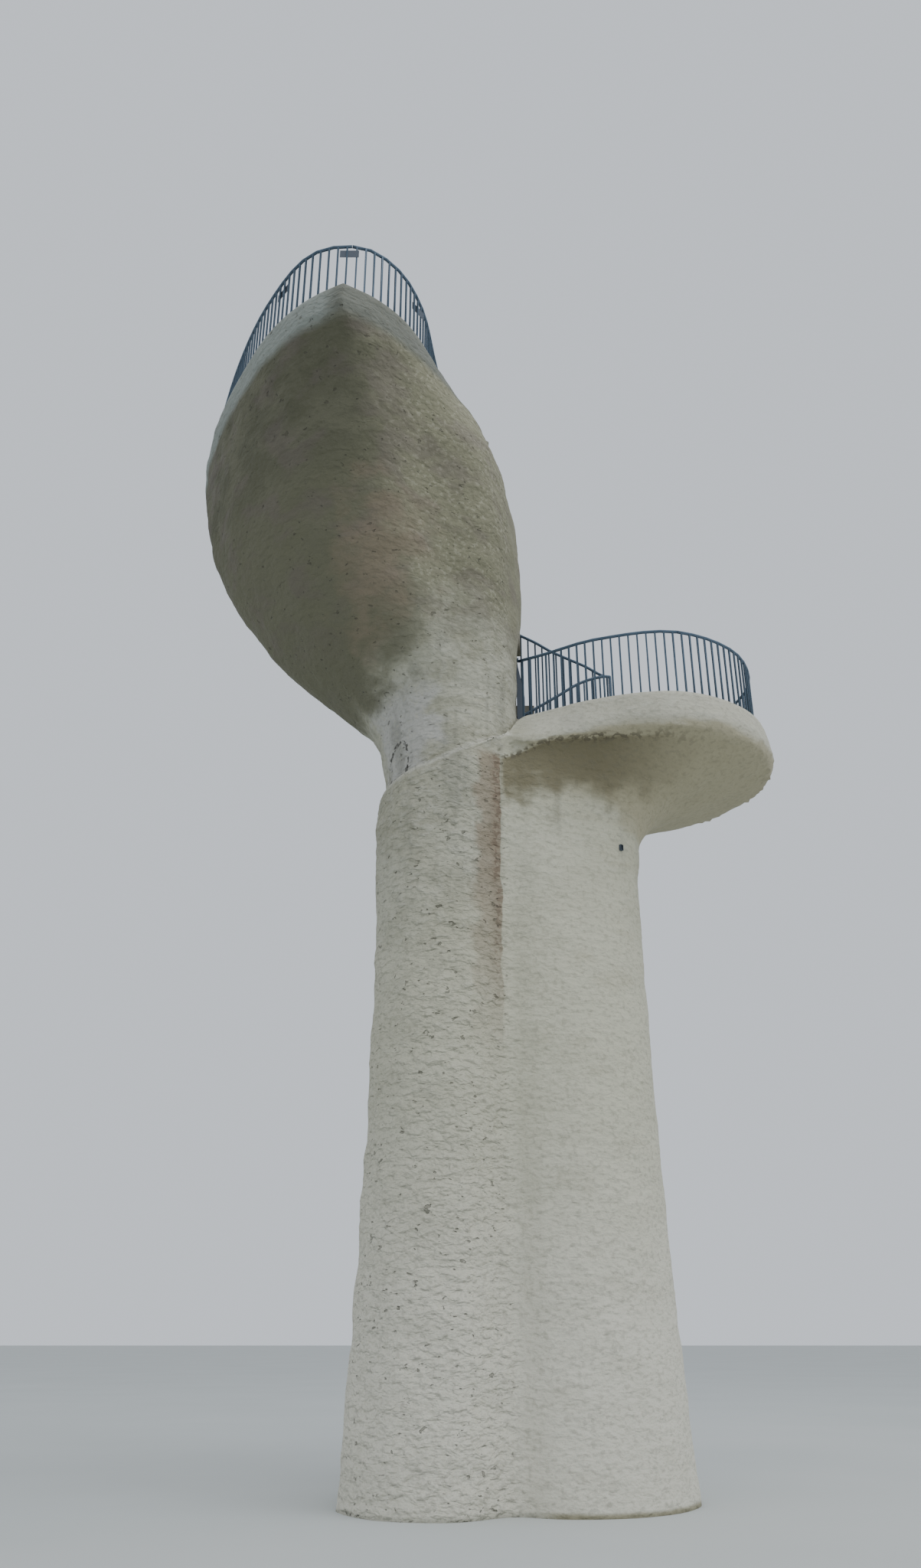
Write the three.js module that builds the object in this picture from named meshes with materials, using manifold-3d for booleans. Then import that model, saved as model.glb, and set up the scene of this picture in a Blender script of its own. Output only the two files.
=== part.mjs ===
// Observation tower like a plant with two leaves: a hollow, sprayed-concrete trunk with a low leaf-shaped
// platform on its right, and a tall stem that carries a second, pointed platform over its left and front.
// Millimetres, +Z up. The origin is on the ground, at the middle of the trunk's foot. -Y is the front.

import * as THREE from "three";
import { mergeVertices } from "three/addons/utils/BufferGeometryUtils.js";
import Module from "manifold-3d";

const wasm = await Module();
wasm.setup();

// Heights of the two platforms, and what they are built from.
const LOWER_FLOOR_Z = 10050;
const UPPER_FLOOR_Z = 14700;
const FLOOR_THICK = 180;
const GROUND_FLOOR_THICK = 200;
const TRUNK_WALL = 250;
const SHELL_WALL = 170;
const JOINT = 0.5;

// The trunk: two lobes side by side, each with a front and a back circle.
const TRUNK_LOBES = [
  { x: -850, y: -330, radius: 970 },
  { x: 600, y: 250, radius: 1320 },
  { x: -760, y: 480, radius: 1060 },
  { x: 420, y: 380, radius: 1220 },
];
const LOBE_BLEND = 22;
const LOBE_FILLET = 0.35;
const CREASE_ANGLE = -93.7;
const TRUNK_TOP_Z = 8300;
const FOOT_SPREAD = 1.13;

// The stem: an oval shaft that grows out of the trunk's left lobe.
const STEM = { x: -745, y: 40, halfWidth: 1000, halfDepth: 1310 };
const STEM_LEAVES_TRUNK_Z = 9800;
const UPPER_LIP_Z = 14220;

// Heads of the two portals in the stem's right side.
const NEAR_PORTAL_HEAD_Z = 11350;
const FAR_PORTAL_HEAD_Z = 13000;

// Stairs: rise and run of a step, and the thickness of the slab under the steps.
const LOWER_STEPS = 56;
const LOWER_RUN = 282;
const UPPER_STEPS = 26;
const UPPER_RUN = 280;
const STAIR_SLAB = 190;

// Railings.
const RAIL_HEIGHT = 1100;
const RAIL_TUBE = 46;
const BALUSTER = 24;
const BALUSTER_SPACING = 128;
const RAIL_INSET = 150;
const RAIL_JOINT = 6;

const CONCRETE = 0xb3ae9c;
const CREAM_CONCRETE = 0xd8d3c4;
const FLOOR_CONCRETE = 0x9d9a8c;
const RAIL_PAINT = 0x4a5a66;

const at = (x, y, z) => new THREE.Vector3(x, y, z);
const radians = THREE.MathUtils.degToRad;
const mix = THREE.MathUtils.lerp;

// Solids

function solidOf(geometry) {
  const bare = new THREE.BufferGeometry();
  bare.setAttribute("position", geometry.getAttribute("position"));
  if (geometry.index) bare.setIndex(geometry.index);
  const merged = mergeVertices(bare, 1e-3);
  const vertProperties = new Float32Array(merged.getAttribute("position").array);
  const triVerts = new Uint32Array(merged.index.array);
  return new wasm.Manifold(new wasm.Mesh({ numProp: 3, vertProperties, triVerts }));
}

function geometryOf(solid) {
  const mesh = solid.getMesh();
  const geometry = new THREE.BufferGeometry();
  geometry.setAttribute("position", new THREE.BufferAttribute(mesh.vertProperties.slice(), 3));
  geometry.setIndex(new THREE.BufferAttribute(mesh.triVerts.slice(), 1));
  geometry.computeVertexNormals();
  return geometry;
}

function geometryFrom(points, triangles) {
  const geometry = new THREE.BufferGeometry();
  geometry.setAttribute(
    "position",
    new THREE.BufferAttribute(new Float32Array(points.flatMap((p) => p.toArray())), 3),
  );
  geometry.setIndex(triangles.flat());
  geometry.computeVertexNormals();
  return geometry;
}

const tower = new THREE.Group();

function addPart(name, geometry, color, roughness = 0.95, metalness = 0) {
  const material = new THREE.MeshStandardMaterial({ color, roughness, metalness });
  const mesh = new THREE.Mesh(geometry, material);
  mesh.name = name;
  tower.add(mesh);
}

// Surfaces lofted through closed rings of control points

class LoftedSurface {
  // Across the shares listed in levelAt the wall's thickness lies level, so that a flat face can rest there.
  constructor(rings, levelAt) {
    this.rings = rings.map((ring) => new THREE.CatmullRomCurve3(ring, true, "centripetal"));
    this.levelAt = levelAt;
  }

  // u runs once round the tower, counter-clockwise from above; v climbs from the first ring to the last.
  point(u, v) {
    const column = this.rings.map((ring) => ring.getPoint(((u % 1) + 1) % 1));
    return new THREE.CatmullRomCurve3(column, false, "centripetal").getPoint(v);
  }

  normal(u, v) {
    const step = 2e-3;
    const along = this.point(u + step, v).sub(this.point(u - step, v));
    const up = this.point(u, Math.min(1, v + step)).sub(this.point(u, Math.max(0, v - step)));
    const normal = along.cross(up);
    if (this.levelAt.some((level) => Math.abs(v - level) < step)) normal.z = 0;
    return normal.normalize();
  }

  inside(u, v, thickness) {
    return this.point(u, v).addScaledVector(this.normal(u, v), -thickness);
  }
}

// A shell is cut into pieces along one grid of columns and rows, so that neighbours share their edges.
const COLUMNS = 64;

// One piece of a shell, from column c0 to column c1 and from row r0 to row r1 of its surface. It stops
// short of its neighbours by a joint.
function shellPiece(surface, rows, { c0, c1, r0, r1, thickness }) {
  const across = c1 - c0;
  const up = r1 - r0;
  const diameter = surface.point(0, rows[r0]).distanceTo(surface.point(0.5, rows[r0]));
  const columnTrim = ((JOINT / 4) * COLUMNS) / (diameter * Math.PI);
  const columnAt = (i) => {
    const trim = { 0: columnTrim, [across]: -columnTrim };
    return (c0 + i + (trim[i] ?? 0)) / COLUMNS;
  };
  const shortOf = (row, neighbour) => {
    const [edge, beyond] = [rows[row], rows[neighbour]];
    const height = surface.point(c0 / COLUMNS, edge).distanceTo(surface.point(c0 / COLUMNS, beyond));
    return edge + ((beyond - edge) * JOINT) / 2 / height;
  };
  const rowAt = (j) => {
    const row = r0 + j;
    if (j === 0 && row > 0) return shortOf(row, row + 1);
    if (j === up && row < rows.length - 1) return shortOf(row, row - 1);
    return rows[row];
  };
  const points = [];
  for (let i = 0; i <= across; i++) {
    for (let j = 0; j <= up; j++) {
      points.push(surface.point(columnAt(i), rowAt(j)), surface.inside(columnAt(i), rowAt(j), thickness));
    }
  }
  const outer = (i, j) => 2 * (i * (up + 1) + j);
  const inner = (i, j) => outer(i, j) + 1;
  const triangles = [];
  for (let i = 0; i < across; i++) {
    for (let j = 0; j < up; j++) {
      triangles.push([outer(i, j), outer(i + 1, j), outer(i + 1, j + 1)]);
      triangles.push([outer(i, j), outer(i + 1, j + 1), outer(i, j + 1)]);
      triangles.push([inner(i, j), inner(i + 1, j + 1), inner(i + 1, j)]);
      triangles.push([inner(i, j), inner(i, j + 1), inner(i + 1, j + 1)]);
    }
    triangles.push([outer(i, 0), inner(i, 0), inner(i + 1, 0)]);
    triangles.push([outer(i, 0), inner(i + 1, 0), outer(i + 1, 0)]);
    triangles.push([outer(i, up), inner(i + 1, up), inner(i, up)]);
    triangles.push([outer(i, up), outer(i + 1, up), inner(i + 1, up)]);
  }
  for (let j = 0; j < up; j++) {
    triangles.push([outer(0, j), outer(0, j + 1), inner(0, j + 1)]);
    triangles.push([outer(0, j), inner(0, j + 1), inner(0, j)]);
    triangles.push([outer(across, j), inner(across, j), inner(across, j + 1)]);
    triangles.push([outer(across, j), inner(across, j + 1), outer(across, j + 1)]);
  }
  return geometryFrom(points, triangles);
}

// Trunk and lower leaf

const RING_POINTS = 16;
const RING_STEP = 360 / RING_POINTS;
const ringIndices = Array.from({ length: RING_POINTS }, (_, k) => k);

// Distance from the trunk's axis to its face in one direction: the lobes, blended where they meet.
function trunkRadius(angle) {
  const direction = at(Math.cos(angle), Math.sin(angle), 0);
  const reach = TRUNK_LOBES.map(({ x, y, radius }) => {
    const along = x * direction.x + y * direction.y;
    return along + Math.sqrt(radius ** 2 - x ** 2 - y ** 2 + along ** 2);
  });
  const widest = Math.max(...reach);
  const sum = reach.reduce((total, r) => total + (r / widest) ** LOBE_BLEND, 0);
  return widest * (1 + LOBE_FILLET * (sum ** (1 / LOBE_BLEND) - 1));
}

// A ring of the trunk. The crease between the lobes at its front is filled out by the depth given, and the
// right lobe beside it stands back, under the leaf's overhang.
const STANDS_BACK = { 1: 0.5, 2: 1, 3: 0.6 };

function trunkRing({ z, spread, creaseFill = 0, setBack = 0 }) {
  return ringIndices.map((k) => {
    const angle = radians(CREASE_ANGLE + k * RING_STEP);
    const radius = trunkRadius(angle) * spread + (k === 0 ? creaseFill : 0);
    return at(radius * Math.cos(angle), radius * Math.sin(angle) + setBack * (STANDS_BACK[k] ?? 0), z);
  });
}

// Lip of the lower leaf, where its edge band ends below, and the edge of its floor: from beside the crease
// round the right and the back. On the left a narrow ledge takes their place, the top of a sheath round the
// stem, which climbs at the crease to meet the leaf.
const LOWER_LIP = [
  at(300, -1075, 9400), at(1230, -1190, 9520), at(2520, -1390, 9540),
  at(3660, -730, 9540), at(4120, 450, 9540), at(3850, 1500, 9540), at(3080, 2330, 9540),
  at(1710, 2750, 9540), at(190, 2500, 9540),
];
const LOWER_EDGE = [
  [300, -590], [1250, -1090], [2500, -1330], [3600, -700],
  [4070, 430], [3800, 1450], [3050, 2270], [1700, 2700], [200, 2450],
];
const FIRST_LEAF = 1;
const LAST_LEAF = LOWER_EDGE.length;
const LEDGE_Z = { 0: 9570, 10: 9700, 11: 9150, 12: 8950, 13: 8880, 14: 8940, 15: 9150 };
const LEDGE_WIDTH = 70;

function stemPoint(angle, grow, z) {
  return at(
    STEM.x + (STEM.halfWidth + grow) * Math.cos(angle),
    STEM.y + (STEM.halfDepth + grow) * Math.sin(angle),
    z,
  );
}

function ledgePoint(k, grow, drop) {
  const trunkAngle = radians(CREASE_ANGLE + k * RING_STEP);
  const outward = at(Math.cos(trunkAngle), Math.sin(trunkAngle), 0);
  const trunkPoint = outward.multiplyScalar(trunkRadius(trunkAngle));
  const stemAngle = Math.atan2(
    (trunkPoint.y - STEM.y) / STEM.halfDepth,
    (trunkPoint.x - STEM.x) / STEM.halfWidth,
  );
  return stemPoint(stemAngle, grow, LEDGE_Z[k] - drop);
}

const isLeaf = (k) => k >= FIRST_LEAF && k <= LAST_LEAF;
const trunkTopRing = trunkRing({ z: TRUNK_TOP_Z, spread: 1.03, creaseFill: 90, setBack: 300 });

// A ring of the leaf's underside: part of the way from the trunk out to the lip, and as high as given. At
// the front it stays on the trunk for longer, and so curls over like a cove.
const COVE = { 1: 0.7, 2: 0.55, 3: 0.75 };

function underLeafRing({ share, leafZ, ledgeGrow, ledgeDrop }) {
  return ringIndices.map((k) => {
    if (!isLeaf(k)) return ledgePoint(k, ledgeGrow, ledgeDrop);
    const from = trunkTopRing[k];
    const to = LOWER_LIP[k - FIRST_LEAF];
    const out = share < 1 ? share * (COVE[k] ?? 1) : 1;
    return at(mix(from.x, to.x, out), mix(from.y, to.y, out), Math.min(leafZ, to.z));
  });
}

const rimRing = ringIndices.map((k) => {
  if (!isLeaf(k)) return ledgePoint(k, LEDGE_WIDTH, 0);
  const [x, y] = LOWER_EDGE[k - FIRST_LEAF];
  return at(x, y, LOWER_FLOOR_Z);
});

const lowerBody = new LoftedSurface([
  trunkRing({ z: 0, spread: FOOT_SPREAD }),
  trunkRing({ z: 1500, spread: 1.08 }),
  trunkRing({ z: 4200, spread: 1.02, creaseFill: 30 }),
  trunkRing({ z: 7200, spread: 1, creaseFill: 70, setBack: 120 }),
  trunkTopRing,
  underLeafRing({ share: 0.22, leafZ: 8900, ledgeGrow: 110, ledgeDrop: 330 }),
  underLeafRing({ share: 0.75, leafZ: 9300, ledgeGrow: 105, ledgeDrop: 200 }),
  underLeafRing({ share: 1, leafZ: LOWER_FLOOR_Z, ledgeGrow: 95, ledgeDrop: 90 }),
  rimRing,
], [0, 0.5, 1]);

// Rows of the lower body, as shares of the way up its rings. The second is the door's head.
const LOWER_ROWS = [0, 0.163, 0.25, 0.34, 0.42, 0.5, 0.57, 0.64, 0.72, 0.79, 0.85, 0.9, 0.95, 1];
const DOOR_HEAD_ROW = 1;
const TRUNK_TOP_ROW = 5;
const LOWER_RIM_ROW = LOWER_ROWS.length - 1;
const DOOR_COLUMNS = [30, 35];

const trunkPieces = [
  { name: "trunk_wall_front_right", c0: 0, c1: 10, r0: 0 },
  { name: "trunk_wall_right", c0: 10, c1: 20, r0: 0 },
  { name: "trunk_wall_back_right", c0: 20, c1: DOOR_COLUMNS[0], r0: 0 },
  { name: "trunk_wall_over_door", c0: DOOR_COLUMNS[0], c1: DOOR_COLUMNS[1], r0: DOOR_HEAD_ROW },
  { name: "trunk_wall_back_left", c0: DOOR_COLUMNS[1], c1: 45, r0: 0 },
  { name: "trunk_wall_left", c0: 45, c1: 55, r0: 0 },
  { name: "trunk_wall_front_left", c0: 55, c1: 64, r0: 0 },
];
for (const { name, ...range } of trunkPieces) {
  const piece = shellPiece(lowerBody, LOWER_ROWS, { ...range, r1: TRUNK_TOP_ROW, thickness: TRUNK_WALL });
  addPart(name, piece, CREAM_CONCRETE);
}

// Stem and upper leaf

// Edge of the upper leaf's floor, counter-clockwise from its pointed tip.
const UPPER_RIM = [
  [-2250, -4240],
  [-1580, -3820],
  [-1120, -3050],
  [-920, -2100],
  [-750, -1100],
  [-550, -100],
  [-550, 900],
  [-1050, 1750],
  [-1950, 2150],
  [-2950, 2150],
  [-3900, 1750],
  [-4600, 950],
  [-4860, -50],
  [-4600, -1200],
  [-3970, -2500],
  [-3150, -3680],
];
// Where the band under that edge ends below: the same line, but for a round shoulder on the right.
const SHOULDER = [
  { k: 2, x: -900, y: -2980 },
  { k: 3, x: -320, y: -1970 },
  { k: 4, x: -110, y: -1050 },
  { k: 5, x: 110, y: -100 },
  { k: 6, x: 60, y: 800 },
  { k: 7, x: -500, y: 1600 },
];
const UPPER_LIP = UPPER_RIM.map(([x, y]) => ({ x, y, shoulder: false }));
for (const { k, x, y } of SHOULDER) UPPER_LIP[k] = { x, y, shoulder: true };
// The shoulder stays on the stem for longer than it leans forward, and bulges a little in between.
const SHOULDER_BULGE = 70;
const SHOULDER_OUT = 5;
const SHOULDER_FORWARD = 1.6;
const TRUMPET = 1.9;
const TIP_ANGLE = -105;
// How early each side of the underside leaves the stem: 1 is a deep bowl, 0 a trumpet.
const BOWL_SHARE = [0.35, 0.15, 0, 0, 0, 0, 0, 0.05, 0.1, 0.2, 0.4, 0.7, 0.97, 1, 0.9, 0.65];
// Heights of the rings of control points, and how far out towards the lip a deep bowl has come at each.
const UPPER_RINGS = [
  { z: TRUNK_TOP_Z, bowl: 0 },
  { z: 9200, bowl: 0 },
  { z: STEM_LEAVES_TRUNK_Z, bowl: 0.04 },
  { z: 10150, bowl: 0.11 },
  { z: 10550, bowl: 0.285 },
  { z: 11200, bowl: 0.545 },
  { z: 12000, bowl: 0.76 },
  { z: 12800, bowl: 0.9 },
  { z: 13600, bowl: 0.97 },
  { z: UPPER_LIP_Z, bowl: 1 },
  { z: UPPER_FLOOR_Z, bowl: 1 },
];

function upperRing({ z, bowl }) {
  if (z > UPPER_LIP_Z) return UPPER_RIM.map(([x, y]) => at(x, y, z));
  const rise = Math.max(0, (z - STEM_LEAVES_TRUNK_Z) / (UPPER_LIP_Z - STEM_LEAVES_TRUNK_Z));
  const trumpet = rise ** TRUMPET;
  return UPPER_LIP.map((lip, k) => {
    const onStem = stemPoint(radians(TIP_ANGLE + k * RING_STEP), 0, z);
    if (!lip.shoulder) {
      const share = mix(trumpet, bowl, BOWL_SHARE[k]);
      return at(mix(onStem.x, lip.x, share), mix(onStem.y, lip.y, share), z);
    }
    const bulge = SHOULDER_BULGE * Math.sin(Math.PI * rise ** 2);
    const x = mix(onStem.x, lip.x, rise ** SHOULDER_OUT) + bulge;
    return at(x, mix(onStem.y, lip.y, rise ** SHOULDER_FORWARD), z);
  });
}

const upperBody = new LoftedSurface(UPPER_RINGS.map(upperRing), [0, 1]);

// Heights of the rows of the upper body's pieces.
const UPPER_ROW_Z = [
  TRUNK_TOP_Z, 9200, STEM_LEAVES_TRUNK_Z, 10150, 10550, 10950, NEAR_PORTAL_HEAD_Z, 12000, 12500,
  FAR_PORTAL_HEAD_Z, 13450, 13850, UPPER_LIP_Z, 14400, UPPER_FLOOR_Z,
];
const upperShare = (z) => {
  const above = Math.max(1, UPPER_RINGS.findIndex((ring) => ring.z >= z));
  const [low, high] = [UPPER_RINGS[above - 1].z, UPPER_RINGS[above].z];
  return (above - 1 + (z - low) / (high - low)) / (UPPER_RINGS.length - 1);
};
const UPPER_ROWS = UPPER_ROW_Z.map(upperShare);
const upperRow = (z) => UPPER_ROW_Z.indexOf(z);
const STEM_TOP_ROW = upperRow(12000);
const UPPER_RIM_ROW = UPPER_ROWS.length - 1;

const stemPieces = [
  { name: "stem_wall_front", c0: -4, c1: 6, r0: 0 },
  { name: "stem_wall_front_right", c0: 6, c1: 15, r0: 0 },
  { name: "stem_wall_over_near_portal", c0: 15, c1: 18, r0: upperRow(NEAR_PORTAL_HEAD_Z) },
  { name: "stem_wall_back", c0: 30, c1: 41, r0: 0 },
  { name: "stem_wall_left", c0: 41, c1: 51, r0: 0 },
  { name: "stem_wall_front_left", c0: 51, c1: 60, r0: 0 },
];
for (const { name, ...range } of stemPieces) {
  addPart(
    name,
    shellPiece(upperBody, UPPER_ROWS, { ...range, r1: STEM_TOP_ROW, thickness: SHELL_WALL }),
    CONCRETE,
  );
}

const upperLeafPieces = [
  { name: "upper_leaf_tip", c0: -4, c1: 4, r0: STEM_TOP_ROW },
  { name: "upper_leaf_front_right", c0: 4, c1: 12, r0: STEM_TOP_ROW },
  { name: "upper_leaf_right_shoulder", c0: 12, c1: 18, r0: STEM_TOP_ROW },
  { name: "upper_leaf_back_right", c0: 18, c1: 30, r0: upperRow(FAR_PORTAL_HEAD_Z) },
  { name: "upper_leaf_back", c0: 30, c1: 38, r0: STEM_TOP_ROW },
  { name: "upper_leaf_back_left", c0: 38, c1: 46, r0: STEM_TOP_ROW },
  { name: "upper_leaf_left", c0: 46, c1: 53, r0: STEM_TOP_ROW },
  { name: "upper_leaf_front_left", c0: 53, c1: 60, r0: STEM_TOP_ROW },
];
for (const { name, ...range } of upperLeafPieces) {
  addPart(
    name,
    shellPiece(upperBody, UPPER_ROWS, { ...range, r1: UPPER_RIM_ROW, thickness: SHELL_WALL }),
    CONCRETE,
  );
}

// What fills the inside of a shell: its surface moved in by the inset, closed at the foot and above the top.
function coreOf(surface, rows, inset, above = 600) {
  const levels = [...rows, null];
  const points = [];
  for (const level of levels) {
    for (let i = 0; i < COLUMNS; i++) {
      const point = surface.inside(i / COLUMNS, level ?? 1, inset);
      if (level === null) point.z += above;
      if (level === rows[0]) point.z -= 1;
      points.push(point);
    }
  }
  const middle = (row) => {
    const ring = points.slice(row * COLUMNS, (row + 1) * COLUMNS);
    return ring.reduce((sum, p) => sum.add(p), at(0, 0, 0)).divideScalar(COLUMNS);
  };
  const foot = points.push(middle(0)) - 1;
  const top = points.push(middle(levels.length - 1)) - 1;
  const index = (i, j) => j * COLUMNS + (i % COLUMNS);
  const triangles = [];
  for (let i = 0; i < COLUMNS; i++) {
    for (let j = 0; j < levels.length - 1; j++) {
      triangles.push([index(i, j), index(i + 1, j), index(i + 1, j + 1)]);
      triangles.push([index(i, j), index(i + 1, j + 1), index(i, j + 1)]);
    }
    triangles.push([index(i + 1, 0), index(i, 0), foot]);
    triangles.push([index(i, levels.length - 1), index(i + 1, levels.length - 1), top]);
  }
  return solidOf(geometryFrom(points, triangles));
}

function slab(outline, lowZ, highZ) {
  const shape = new THREE.Shape(outline.map(([x, y]) => new THREE.Vector2(x, y)));
  const geometry = new THREE.ExtrudeGeometry(shape, { depth: highZ - lowZ, bevelEnabled: false });
  return solidOf(geometry.translate(0, 0, lowZ));
}

const rectangle = (x0, y0, x1, y1) => [[x0, y0], [x1, y0], [x1, y1], [x0, y1]];

// Sheath and lower leaf, cut clear of the stem that rises inside them

const stemCore = coreOf(upperBody, UPPER_ROWS.slice(0, 5), -JOINT, 0);
const FAR = 9000;
const whole = rectangle(-FAR, -FAR, FAR, FAR);
const overLowerFloor = slab(whole, LOWER_FLOOR_Z, LOWER_FLOOR_Z + 600);
const lowerLeafPieces = [
  { name: "lower_leaf_front", c0: -3, c1: 9 },
  { name: "lower_leaf_right_front", c0: 9, c1: 17 },
  { name: "lower_leaf_tip", c0: 17, c1: 26 },
  { name: "lower_leaf_back", c0: 26, c1: 38 },
  { name: "sheath_back", c0: 38, c1: 50 },
  { name: "sheath_front", c0: 50, c1: 61 },
];
for (const { name, ...range } of lowerLeafPieces) {
  const thick = shellPiece(lowerBody, LOWER_ROWS, {
    ...range,
    r0: TRUNK_TOP_ROW,
    r1: LOWER_RIM_ROW,
    thickness: SHELL_WALL,
  });
  addPart(name, geometryOf(solidOf(thick).subtract(stemCore).subtract(overLowerFloor)), CONCRETE);
}

// Stairs. A walking line is a chain of straight legs and left turns.

const leg = (x, y, heading, length) => ({
  length,
  place: (s) => ({ x: x + s * Math.cos(heading), y: y + s * Math.sin(heading), heading }),
});

const leftTurn = (cx, cy, radius, heading, sweep) => ({
  length: radius * sweep,
  place: (s) => {
    const turned = heading + s / radius;
    return { x: cx + radius * Math.sin(turned), y: cy - radius * Math.cos(turned), heading: turned };
  },
});

function placeOn(chain, distance) {
  let rest = distance;
  for (const part of chain.slice(0, -1)) {
    if (rest <= part.length) return part.place(rest);
    rest -= part.length;
  }
  return chain.at(-1).place(rest);
}

// One flight as a single solid: steps above, a smooth slab below.
function flight({ chain, start, steps, run, riser, width, footZ, hangs = false }) {
  const points = [];
  for (let i = 0; i <= steps; i++) {
    const { x, y, heading } = placeOn(chain, start + i * run);
    const sloping = footZ + i * riser - STAIR_SLAB;
    const soffit = hangs ? sloping : Math.max(footZ, sloping);
    const stepBelow = footZ + i * riser;
    const step = footZ + (i + 1) * riser;
    for (const side of [width / 2, -width / 2]) {
      const px = x - side * Math.sin(heading);
      const py = y + side * Math.cos(heading);
      points.push(at(px, py, soffit), at(px, py, stepBelow), at(px, py, step));
    }
  }
  const [SOFFIT, BELOW, STEP] = [0, 1, 2];
  const left = (i, level) => 6 * i + level;
  const right = (i, level) => 6 * i + 3 + level;
  const triangles = [];
  const quad = (a, b, c, d) => triangles.push([a, b, c], [a, c, d]);
  for (let i = 0; i < steps; i++) {
    quad(right(i, STEP), right(i + 1, BELOW), left(i + 1, BELOW), left(i, STEP));
    const under = i === 0 ? SOFFIT : BELOW;
    quad(left(i, under), right(i, under), right(i, STEP), left(i, STEP));
    quad(right(i, SOFFIT), left(i, SOFFIT), left(i + 1, SOFFIT), right(i + 1, SOFFIT));
    triangles.push([right(i + 1, SOFFIT), right(i + 1, BELOW), right(i, STEP)]);
    triangles.push([left(i + 1, SOFFIT), left(i, STEP), left(i + 1, BELOW)]);
    triangles.push([right(i + 1, SOFFIT), right(i, STEP), right(i, under)]);
    triangles.push([left(i + 1, SOFFIT), left(i, under), left(i, STEP)]);
    if (i === 0) continue;
    triangles.push([right(i + 1, SOFFIT), right(i, BELOW), right(i, SOFFIT)]);
    triangles.push([left(i + 1, SOFFIT), left(i, SOFFIT), left(i, BELOW)]);
  }
  quad(left(steps, SOFFIT), left(steps, BELOW), right(steps, BELOW), right(steps, SOFFIT));
  return geometryOf(solidOf(geometryFrom(points, triangles)));
}

const TURN_RADIUS = 520;
const NEAR_LEG_Y = -125;
const FAR_LEG_Y = NEAR_LEG_Y + 2 * TURN_RADIUS;
const LEFT_TURN_X = -600;
const RIGHT_TURN_X = 760;
const MIDDLE_Y = NEAR_LEG_Y + TURN_RADIUS;
const straight = RIGHT_TURN_X - LEFT_TURN_X;
const oneRound = [
  leg(LEFT_TURN_X, NEAR_LEG_Y, 0, straight),
  leftTurn(RIGHT_TURN_X, MIDDLE_Y, TURN_RADIUS, 0, Math.PI),
  leg(RIGHT_TURN_X, FAR_LEG_Y, Math.PI, straight),
  leftTurn(LEFT_TURN_X, MIDDLE_Y, TURN_RADIUS, Math.PI, Math.PI),
];
// The last leg of flight one shows: it runs straight along the front of a narrow eye.
const FLIGHT_ONE_TOP_X = 1420;
const FLIGHT_ONE_SIDES = [-375, 125];
const lastLeg = leg(LEFT_TURN_X, NEAR_LEG_Y, 0, FLIGHT_ONE_TOP_X - LEFT_TURN_X);
const lowerChain = [...oneRound, ...oneRound, ...oneRound, lastLeg];
const lowerChainLength = lowerChain.reduce((sum, part) => sum + part.length, 0);
const lowerStart = lowerChainLength - LOWER_STEPS * LOWER_RUN - JOINT;
const LOWER_FLIGHT_WIDTH = 470;
const lowerRiser = (LOWER_FLOOR_Z - GROUND_FLOOR_THICK) / LOWER_STEPS;
const HALF_WAY = 28;
addPart(
  "stair_lower_first_half",
  flight({
    chain: lowerChain,
    start: lowerStart,
    steps: HALF_WAY,
    run: LOWER_RUN,
    riser: lowerRiser,
    width: LOWER_FLIGHT_WIDTH,
    footZ: GROUND_FLOOR_THICK + JOINT,
  }),
  FLOOR_CONCRETE,
);
addPart(
  "stair_lower_second_half",
  flight({
    chain: lowerChain,
    start: lowerStart + HALF_WAY * LOWER_RUN + JOINT,
    steps: LOWER_STEPS - HALF_WAY,
    run: LOWER_RUN,
    riser: lowerRiser,
    width: LOWER_FLIGHT_WIDTH,
    footZ: GROUND_FLOOR_THICK + HALF_WAY * lowerRiser,
    hangs: true,
  }),
  FLOOR_CONCRETE,
);

// Flight two goes up behind the stem, turns inside the bowl of the upper leaf and comes out towards its tip.
const FLIGHT_TWO_START = { x: 1350, y: 715 };
const FLIGHT_TWO_TURN = { x: -2300, y: FLIGHT_TWO_START.y - TURN_RADIUS };
const FLIGHT_TWO_WIDTH = 620;
const quarterTurn = (TURN_RADIUS * Math.PI) / 2;
const flightTwoLastLeg = UPPER_STEPS * UPPER_RUN - quarterTurn - (FLIGHT_TWO_START.x - FLIGHT_TWO_TURN.x);
const upperChain = [
  leg(FLIGHT_TWO_START.x, FLIGHT_TWO_START.y, Math.PI, FLIGHT_TWO_START.x - FLIGHT_TWO_TURN.x),
  leftTurn(FLIGHT_TWO_TURN.x, FLIGHT_TWO_TURN.y, TURN_RADIUS, Math.PI, Math.PI / 2),
  leg(FLIGHT_TWO_TURN.x - TURN_RADIUS, FLIGHT_TWO_TURN.y, 1.5 * Math.PI, flightTwoLastLeg),
];
addPart(
  "stair_upper",
  flight({
    chain: upperChain,
    start: 0,
    steps: UPPER_STEPS,
    run: UPPER_RUN,
    riser: (UPPER_FLOOR_Z - LOWER_FLOOR_Z) / UPPER_STEPS,
    width: FLIGHT_TWO_WIDTH,
    footZ: LOWER_FLOOR_Z + JOINT,
  }),
  FLOOR_CONCRETE,
);

// Floors

const trunkInside = coreOf(lowerBody, LOWER_ROWS, TRUNK_WALL + JOINT);
const trunkOutside = coreOf(lowerBody, LOWER_ROWS, 0);
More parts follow.
